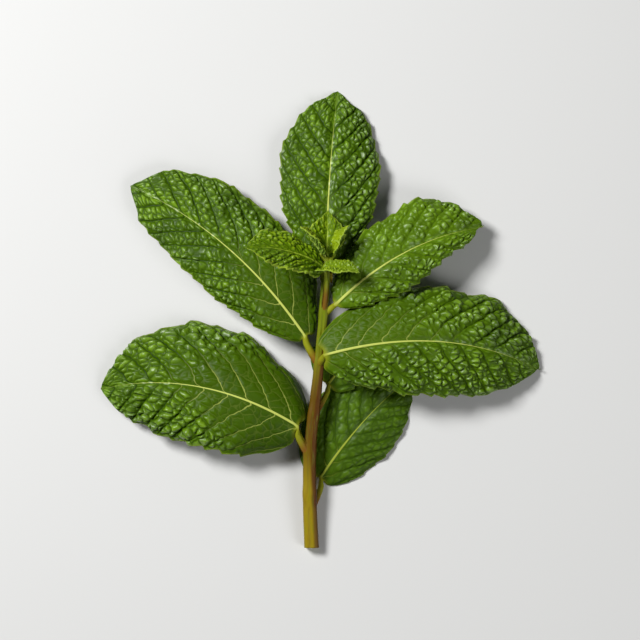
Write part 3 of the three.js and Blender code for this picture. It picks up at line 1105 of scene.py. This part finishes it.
    def _moved(self, rings: np.ndarray) -> np.ndarray:
        """Moves the blade's base and tip, and turns it about the line between them.

        Args:
            rings: the blade's rings.

        Returns:
            The moved rings.
        """
        base, tip = np.array(self.base_moved) * MM, np.array(self.tip_moved) * MM
        rings = rings + base + np.linspace(0.0, 1.0, len(rings))[:, None, None] * (tip - base)
        centres = rings.mean(axis=1, keepdims=True)
        axis = Vector(centres[-1, 0] - centres[0, 0])
        turn = np.array(Matrix.Rotation(math.radians(self.turned), 3, axis))
        return centres + (rings - centres) @ turn.T

    def _stations(self, spine: np.ndarray, first: int) -> tuple[np.ndarray, np.ndarray]:
        """Spaces the fine rings evenly along the leaf, and closer at its very tip.

        Args:
            spine: the middle of each ring.
            first: the blade's first ring.

        Returns:
            The ring number of each fine ring, and its distance past the blade's base in millimetres.
        """
        dense = np.linspace(0, len(spine) - 1, self.SPINE_STEPS)
        travelled = lengths(along_rows(spine, dense)) / MM
        even = np.linspace(0, travelled[-1], max(int(travelled[-1] / self.grid), self.FEWEST_RINGS))
        near_tip = -1 - self.LAST_STEPS
        even = np.concatenate([even[:near_tip], np.linspace(even[near_tip], even[-1], self.TIP_RINGS)])
        rows = np.interp(even, travelled, dense)
        return rows, even - np.interp(first - 1.0, dense, travelled)

    def _columns(self, share: np.ndarray, halves: np.ndarray) -> np.ndarray:
        """Spaces the points across the blade and cuts the teeth into its edges.

        Args:
            share: how far along the blade each fine ring is.
            halves: the width of its two halves.

        Returns:
            The place of each point across, from -CENTRE at the left edge to CENTRE at the right one.
        """
        widest = halves.sum(axis=1).max()
        even = np.linspace(0.0, 1.0, max(int(widest / self.grid), self.FEWEST_ACROSS) // 2 + 1)
        left_over = (1.0 - share) * widest * self.LONG_AS_WIDE
        narrow = np.clip(left_over / self.point, 1e-4, 1.0) ** 0.5
        chance = np.random.default_rng(self.seed)
        reach = []
        for side in Side:
            place = share**0.9 * self.teeth + chance.random()
            which = np.floor(place).astype(int)
            uneven = 0.6 + 0.7 * chance.random(self.teeth + 3)[which]  # the size of each tooth
            part = place - which
            back, front = (part / self.TOOTH_BACK) ** 1.2, 1.0 - smooth(part, self.TOOTH_BACK, 1.0)
            saw = np.where(part < self.TOOTH_BACK, back, front) - 0.6
            size = self.tooth * uneven * saw * smooth(share, 0.04, 0.2) * (1 - smooth(share, 0.94, 1.0))
            for bulge in self.bulges:
                if bulge.side is side:
                    size = size + bulge.swell * np.exp(-(((share - bulge.middle) / bulge.width) ** 2))
            reach.append(narrow + size / np.maximum(halves[:, side.value], 2.0))
        left, right = -reach[0][:, None] * even[:0:-1], reach[1][:, None] * even
        return np.concatenate([left, right], axis=1) * self.CENTRE

    def _across(self, table: np.ndarray, columns: np.ndarray) -> np.ndarray:
        """Reads a table of rings at places across the blade, carried on straight past either edge.

        Args:
            table: places, one row for each fine ring and HALF_RING across.
            columns: where to read, from -CENTRE to CENTRE, or a little past them.

        Returns:
            One place for each.
        """
        before, after = table[:, :1] - table[:, 1:2], table[:, -1:] - table[:, -2:-1]
        longer = np.concatenate([table[:, :1] + before, table, table[:, -1:] + after], axis=1)
        at = np.clip(columns, -self.CENTRE, self.CENTRE) + self.CENTRE
        low = np.clip(np.floor(at).astype(int), 0, self.HALF_RING - 2)
        pick = np.arange(len(table))[:, None]
        inside = curve(*(longer[pick, low + i] for i in range(4)), (at - low)[..., None])
        past = np.maximum(np.abs(columns) - self.CENTRE, 0.0)[..., None]
        return inside + np.where((columns < 0)[..., None], before, after) * past

    @staticmethod
    def _normals(sheet: np.ndarray) -> np.ndarray:
        """The direction away from the leaf's upper face at each point of its middle sheet."""
        return unit(np.cross(np.gradient(sheet, axis=1), np.gradient(sheet, axis=0)))

    def _ripple(self, lengthwise: np.ndarray, outward: np.ndarray, columns: np.ndarray) -> np.ndarray:
        """How far the edges wave up and down, in metres.

        Args:
            lengthwise: millimetres past the blade's base.
            outward: the share of the way from the midrib to the edge.
            columns: below 0 on the left.

        Returns:
            A height for each point, as a column.
        """
        wave = 2 * math.pi * lengthwise[:, None] / (self.quilting.spacing * self.WAVE)
        phase = np.where(columns < 0, 0.4 * self.seed, 1.9 + 0.7 * self.seed)
        slow = np.sin(wave * 0.45 + 2.0 * phase)
        height = (np.sin(wave + phase) + 0.7 * slow) * self.ripple * MM * outward**2.5
        return (height * smooth(lengthwise, 1.0, 10.0)[:, None])[..., None]

    @staticmethod
    def _keep_off_floor(piece: bpy.types.Object) -> None:
        """Lifts any point that the quilting pushed below the surface that the sprig lies on.

        Args:
            piece: the leaf.
        """
        mesh = piece.data
        places = np.empty(len(mesh.vertices) * 3, np.float32)
        mesh.vertices.foreach_get("co", places)
        places[2::3] = np.maximum(places[2::3], FLOOR_GAP)
        mesh.vertices.foreach_set("co", places)
        mesh.update()


# ---------------------------------------------------------------------------------------- stem and bud


@dataclass
class Stem:
    """The stem. Sizes are in millimetres.

    Attributes:
        node: the CAD node that it stands for.
        groove: how deep the furrow down each face is.
        corner_ridge: how high the line down each corner stands.
        joint_ridge: how high the line that runs round each node stands.
        joint_trim: how much is taken off the swelling at each node.
        wider: how much is added to its radius at the bottom.
        sides: points round the fine mesh.
        grid: between its rings.
    """

    node: str = "stem"
    groove: float = 0.16
    corner_ridge: float = 0.07
    joint_ridge: float = 0.02
    joint_trim: float = 0.25
    wider: float = 0.16
    sides: int = 96
    grid: float = 0.22

    RING = 16  # points round the CAD solid
    SPINE_STEPS = 1500  # for measuring along its middle line
    # The cut end's rings, from its middle out: their share of its width, their depth and how much pith shows.
    CUT = ((0.12, 0.5, 0.9), (0.4, 0.3, 1.0), (0.7, 0.08, 1.0), (0.86, -0.05, 0.7), (0.95, -0.03, 0.15))

    def __post_init__(self) -> None:
        """Reads the stem's rings from the frame."""
        low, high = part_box(self.node)
        cut = np.array([0.5 * (low.x + high.x), low.y, low.z])
        self.loft = Loft.read(self.node, self.RING, cut[None])
        self.line = self.loft.middles

    def level(self, height: float) -> np.ndarray:
        """The place on the stem's middle line at a height along Y."""
        return np.array([np.interp(height, self.line[:, 1], self.line[:, axis]) for axis in range(3)])

    def build(self, joints: list[float], skin: bpy.types.Material) -> bpy.types.Object:
        """Makes the stem.

        Args:
            joints: where its nodes are along Y, in metres.
            skin: its material.

        Returns:
            The finished piece.
        """
        rings, even = self._fine()
        middle = rings.mean(axis=1)
        gap = np.min(np.abs(middle[:, 1:2] - np.array(joints)), axis=1) / MM
        outward = unit(rings - middle[:, None])
        rings = rings + outward * self._relief(even, gap)[..., None] * MM
        aside = rings[..., 0] - middle[:, :1]
        turn = smooth(aside / np.abs(aside).max(axis=1, keepdims=True), -0.1, 0.75)

        # The cut: a slightly crushed rim with the pith inside it.
        rim = rings[:1]
        centre = rim.mean(axis=1, keepdims=True)
        inner = [centre + (rim - centre) * part + np.array([0, depth * MM, 0]) for part, depth, _ in self.CUT]
        rings = np.concatenate(inner + [rings], axis=0)
        before = np.zeros(len(self.CUT))
        marks = {
            "core": np.concatenate([[pith for _, _, pith in self.CUT], np.zeros(len(even))])[:, None],
            "share": np.concatenate([before, even / even[-1]])[:, None],
            "joint": np.concatenate([before, np.exp(-((gap / 1.4) ** 2))])[:, None],
            "turn": np.concatenate([np.zeros((len(self.CUT), self.sides)), turn]),
        }
        rings[..., 2] = np.maximum(rings[..., 2], FLOOR_GAP)
        piece = shell("stem_skin", rings, marks)
        piece.data.materials.append(skin)
        return piece

    def _fine(self) -> tuple[np.ndarray, np.ndarray]:
        """Passes a fine, even mesh through the CAD rings.

        Returns:
            The fine rings, and the distance of each past the cut in millimetres.
        """
        dense = np.linspace(0, len(self.line) - 1, self.SPINE_STEPS)
        travelled = lengths(along_rows(self.line, dense)) / MM
        even = np.linspace(0, travelled[-1], int(travelled[-1] / self.grid))
        coarse = along_rows(self.loft.rings, np.interp(even, travelled, dense))
        wrapped = np.concatenate([coarse[:, -1:], coarse, coarse[:, :2]], axis=1)
        at = np.linspace(0, self.RING, self.sides, endpoint=False) + 1.0
        return np.swapaxes(along_rows(np.swapaxes(wrapped, 0, 1), at), 0, 1), even

    def _relief(self, even: np.ndarray, gap: np.ndarray) -> np.ndarray:
        """How far the skin stands out: furrows down its faces, ridges at its corners, lines at its nodes.

        Args:
            even: the distance of each fine ring past the cut.
            gap: its distance from the nearest node.

        Returns:
            Millimetres outwards, for each point of each fine ring.
        """
        face = np.cos(4 * 2 * math.pi * np.arange(self.sides) / self.sides)
        furrow = -self.groove * smooth(face, 0.1, 1.0) * smooth(gap, 0.8, 4.0)[:, None]
        ridge = self.corner_ridge * smooth(-face, 0.7, 1.0)
        line = self.joint_ridge * np.exp(-((gap / 0.45) ** 2))
        trim = self.joint_trim * np.exp(-((gap / 2.0) ** 2))
        taper = smooth(even, 0.0, 1.0) * 0.5 + 0.5
        wider = self.wider * (1.0 - smooth(even / even[-1], 0.3, 0.7))
        return (furrow + ridge + (line - trim)[:, None]) * taper[:, None] + wider[:, None]


@dataclass(frozen=True)
class Bud:
    """The bud: a tight egg of the next leaves, folded over each other.

    Attributes:
        node: the CAD node that it stands for.
        folds: how many leaf edges wind round it.
        fold_depth: how far they stand out, as a share of its width.
        wind: how far round they go from its base to its tip, in radians.
        sunk: how far its base reaches below its CAD box, in millimetres.
        sides: points round it.
        rows: rings from its base to its tip.
    """

    node: str = "bud"
    folds: int = 3
    fold_depth: float = 0.16
    wind: float = 5.0
    sunk: float = 0.2
    sides: int = 48
    rows: int = 40

    def build(self, skin: bpy.types.Material) -> bpy.types.Object:
        """Makes the bud inside its CAD box.

        Args:
            skin: its material.

        Returns:
            The finished piece.
        """
        low, high = (np.array(corner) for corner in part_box(self.node))
        middle, size = 0.5 * (low + high), high - low
        share = np.linspace(0.0, 1.0, self.rows)[:, None]
        angle = np.linspace(0, 2 * math.pi, self.sides, endpoint=False)
        fold = np.abs(np.sin(0.5 * (angle * self.folds + share * self.wind)))
        profile = np.sin(math.pi * (0.12 + 0.87 * share)) ** 0.8
        radius = profile * (1.0 + self.fold_depth * (fold - 0.6)) * 0.5
        rings = np.empty((self.rows, self.sides, 3))
        rings[..., 0] = middle[0] + radius * np.cos(angle) * size[0]
        rings[..., 1] = low[1] - self.sunk * MM + share * (size[1] + self.sunk * MM)
        rings[..., 2] = middle[2] - radius * np.sin(angle) * size[2]
        marks = {"along": 5.0, "across": 1.0, "over": 1.0, "order": 0.5, "grown": 1.0, "share": 0.6}
        # The fold ridges carry the pillow mark, so the skin paints its highlight on them; fresh lightens the
        # bud's green.
        marks |= {"fresh": 0.4, "reach": 0.5 + 0.5 * fold, "pillow": fold}
        piece = shell("bud_folds", rings, marks)
        piece.data.materials.append(skin)
        return piece


# ---------------------------------------------------------------------------------------------- studio


class Lamp(NamedTuple):
    """A soft square light that faces the sprig.

    Attributes:
        name: its name.
        place: where it is, in metres.
        size: its width, in metres.
        power: in watts.
    """

    name: str
    place: tuple[float, float, float]
    size: float
    power: float

    def build(self) -> None:
        """Adds the light to the scene, turned towards the origin."""
        light = bpy.data.objects.new(self.name, bpy.data.lights.new(self.name, "AREA"))
        light.data.size = self.size
        light.data.energy = self.power
        light.location = self.place
        light.rotation_euler = (-Vector(self.place)).to_track_quat("-Z", "Y").to_euler()
        bpy.context.scene.collection.objects.link(light)


@dataclass(frozen=True)
class Studio:
    """The floor, the lights and the camera. Sizes are in metres.

    Attributes:
        camera_height: above the floor.
        view_width: how much of the sprig's level the camera sees.
        sprig_level: the height that the view's width is measured at.
        sensor: the width of the camera's sensor, in millimetres.
        floor_half: half the floor's width.
        floor_colour: pale grey.
        sky: colour of the even light from all round.
        sky_strength: how bright that is.
        lamps: the lights.
    """

    camera_height: float = 0.9
    view_width: float = 0.17504
    sprig_level: float = 0.012
    sensor: float = 36.0
    floor_half: float = 6.0
    floor_colour: Colour = (0.6, 0.6, 0.59, 1.0)
    sky: Colour = (0.95, 0.97, 1.0, 1.0)
    sky_strength: float = 0.07
    lamps: tuple[Lamp, ...] = (
        Lamp("key", (-0.4, 0.28, 0.58), 0.22, 7.7),
        Lamp("fill", (0.45, -0.36, 0.5), 0.4, 2.2),
    )

    def build(self) -> None:
        """Sets up everything that isn't the object."""
        self._floor()
        self._camera()
        for lamp in self.lamps:
            lamp.build()
        world = bpy.data.worlds.new("studio")
        world.use_nodes = True
        background = world.node_tree.nodes["Background"].inputs
        background["Color"].default_value = self.sky
        background["Strength"].default_value = self.sky_strength
        bpy.context.scene.world = world
        bpy.context.scene.view_settings.view_transform = "Standard"

    def _floor(self) -> None:
        """A plain pale floor under the whole view, and well past it."""
        mesh = bpy.data.meshes.new("floor")
        half = self.floor_half
        corners = [(-half, -half, 0), (half, -half, 0), (half, half, 0), (-half, half, 0)]
        mesh.from_pydata(corners, [], [[0, 1, 2, 3]])
        floor = bpy.data.objects.new("floor", mesh)
        bpy.context.scene.collection.objects.link(floor)
        material = bpy.data.materials.new("floor")
        material.use_nodes = True
        shader = material.node_tree.nodes["Principled BSDF"]
        shader.inputs["Base Color"].default_value = self.floor_colour
        shader.inputs["Roughness"].default_value = 0.9
        mesh.materials.append(material)
        floor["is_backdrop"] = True

    def _camera(self) -> None:
        """A long lens straight above the middle of the sprig, with +Y up in the picture."""
        low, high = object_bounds()
        camera = bpy.data.objects.new("camera", bpy.data.cameras.new("camera"))
        camera.location = (0.5 * (low[0] + high[0]), 0.5 * (low[1] + high[1]), self.camera_height)
        camera.data.sensor_width = self.sensor
        camera.data.lens = self.sensor * (self.camera_height - self.sprig_level) / self.view_width
        camera.data.clip_end = 20.0
        bpy.context.scene.collection.objects.link(camera)
        bpy.context.scene.camera = camera


# ------------------------------------------------------------------------------------------- the sprig

BROAD = Quilting(height=1.5, spacing=6.8, cell=2.7, bare=0.38, bare_right=0.38)
FULL = Quilting(height=1.4, slant=0.8, cell=2.0, rows=1.9, groove=0.35, bare_right=0.0, flat=0.3)
LONG = Quilting(height=1.2, spacing=7.2, slant=1.2, curve=0.4, cell=1.9, rows=1.9, bare=0.18, bare_right=0.22)
TIGHT = replace(
    LONG, spacing=6.8, slant=1.1, curve=0.35, cell=1.8, rows=2.1, flat=0.5, bare=0.1, bare_right=0.1
)
CALM = Quilting(height=0.5, spacing=5.0, slant=1.0, puff=0.5, bare=0.0, bare_right=0.0)
FINE = Quilting(height=0.9, spacing=3.4, slant=1.3, curve=0.5, cell=1.6, groove=0.35, flat=0.8)
TINY = Quilting(height=0.85, spacing=2.1, slant=1.0, cell=1.1, puff=0.85, groove=0.2, flat=0.8, midrib=0.25)

INNER = Leaf(
    "inner", Age.YOUNG, TINY, seed=0, teeth=9, tooth=0.35, thickness=0.24, ripple=0.3, grid=0.12, tip=0.3,
    bulges=(Bulge(LEFT, 0.4, 0.4, 0.3), Bulge(RIGHT, 0.4, 0.4, 0.3)),
)

# fresh is painted light on leaf_mid_right and leaf_upper_right, which stand more in the light; on the young
# and inner leaves it is partly their own lighter green and partly painted light on their bright ridges.
LEAVES = [
    Leaf(
        "leaf_low_right", Age.OLD, CALM, seed=3, teeth=9, ripple=0.3, tooth=0.5,
        bulges=(Bulge(RIGHT, 0.6, 0.6, 0.3), Bulge(LEFT, 0.3, 1.1, 0.25)),
    ),
    Leaf(
        "leaf_low_left", Age.GROWN, BROAD, seed=5, teeth=9, tooth=1.4, base_moved=(0.2, -1.0, 0.0),
        bulges=(
            Bulge(RIGHT, 0.05, 1.6, 0.08), Bulge(RIGHT, 0.22, -1.4, 0.08), Bulge(RIGHT, 0.6, 0.7, 0.15),
            Bulge(LEFT, 0.1, 1.6, 0.1), Bulge(LEFT, 0.45, -1.2, 0.14), Bulge(LEFT, 0.9, 0.5, 0.06),
        ),
    ),
    Leaf("leaf_hidden_right", Age.OLD, CALM, seed=7, teeth=7, ripple=0.2),
    Leaf(
        "leaf_mid_left", Age.GROWN, LONG, seed=9, teeth=14, tooth=0.6, tip_moved=(-0.5, 0.1, 0.0),
        bulges=(
            Bulge(LEFT, 0.6, -1.2, 0.2), Bulge(LEFT, 0.94, 0.8, 0.06),
            Bulge(RIGHT, 0.6, 0.9, 0.3), Bulge(RIGHT, 0.12, 1.0, 0.1), Bulge(RIGHT, 0.22, 3.4, 0.1),
        ),
    ),
    Leaf(
        "leaf_mid_right", Age.GROWN, FULL, seed=12, tooth=0.9, fresh=0.15,
        bulges=(
            Bulge(LEFT, 0.8, 3.0, 0.16), Bulge(LEFT, 0.5, 0.9, 0.15),
            Bulge(RIGHT, 0.93, -0.8, 0.08), Bulge(RIGHT, 0.5, -0.9, 0.15),
        ),
    ),
    Leaf(
        "leaf_upper_right", Age.GROWN, TIGHT, seed=15, teeth=12, tooth=0.9, fresh=0.4,
        bulges=(Bulge(LEFT, 0.8, 3.0, 0.2), Bulge(RIGHT, 0.75, -2.8, 0.2)),
    ),
    Leaf(
        "leaf_top", Age.GROWN, TIGHT, seed=18, base_moved=(0.0, -1.4, 0.0),
        bulges=(
            Bulge(LEFT, 0.78, 1.6, 0.2), Bulge(RIGHT, 0.75, 0.9, 0.2),
            Bulge(LEFT, 0.03, 3.0, 0.06), Bulge(RIGHT, 0.03, 5.5, 0.06),
        ),
    ),
    Leaf(
        "young_left", Age.YOUNG, FINE, seed=21, teeth=12, tooth=0.4, thickness=0.26, grid=0.2, tip=0.2,
        fresh=0.1, base_moved=(3.2, 0.0, 0.6),
        bulges=(Bulge(LEFT, 0.08, 1.4, 0.12), Bulge(RIGHT, 0.05, 0.8, 0.1)),
    ),
    Leaf(
        "young_right", Age.YOUNG, TINY, seed=24, teeth=10, tooth=0.3, thickness=0.24, ripple=0.25, grid=0.14,
        tip=0.2, fresh=0.4, base_moved=(-3.4, 0.3, 1.8), tip_moved=(-1.2, 0.2, 0.6),
        bulges=(Bulge(RIGHT, 0.12, 1.0, 0.2), Bulge(LEFT, 0.08, 1.2, 0.15)),
    ),
    replace(INNER, node="inner_left", seed=27, turned=14.0, fresh=1.0),
    replace(INNER, node="inner_right", seed=30, turned=-4.0, fresh=1.0),
    replace(
        INNER, node="inner_back", seed=33, fresh=0.2, quilting=FINE,
        bulges=(Bulge(LEFT, 0.5, 1.6, 0.25), Bulge(RIGHT, 0.4, 1.2, 0.3)),
    ),
]


def attach(piece: bpy.types.Object, node: str, slot: str) -> None:
    """Makes a piece part of the object, in place of a CAD node.

    Args:
        piece: the finished piece.
        node: the CAD node that it stands for.
        slot: the record's material slot; not used.
    """
    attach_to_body(piece, BODY)
    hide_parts(node)
    LOG.info("%s: %d faces", piece.name, len(piece.data.polygons))


def main() -> None:
    """Builds the sprig and its studio."""
    logging.basicConfig(level=logging.INFO, format="%(message)s")
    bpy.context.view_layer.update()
    Studio().build()
    effects = Effects.make()
    finishes = {Age.OLD: OLD, Age.GROWN: LEAF, Age.YOUNG: YOUNG}
    skins = {age: finish.make(effects) for age, finish in finishes.items()}
    quilting = quilting_tree()

    stem = Stem()
    joints = []
    for leaf in LEAVES:
        loft = leaf.read(stem)
        attach(leaf.build(loft, stem, quilting, skins[leaf.age]), leaf.node, leaf.age.slot)
        joints.append(float(loft.middles[0, 1]))
    attach(stem.build(joints, STEM.make(effects)), stem.node, "stem")
    bud = Bud()
    attach(bud.build(skins[Age.YOUNG]), bud.node, Age.YOUNG.slot)


if __name__ == "__main__":
    main()
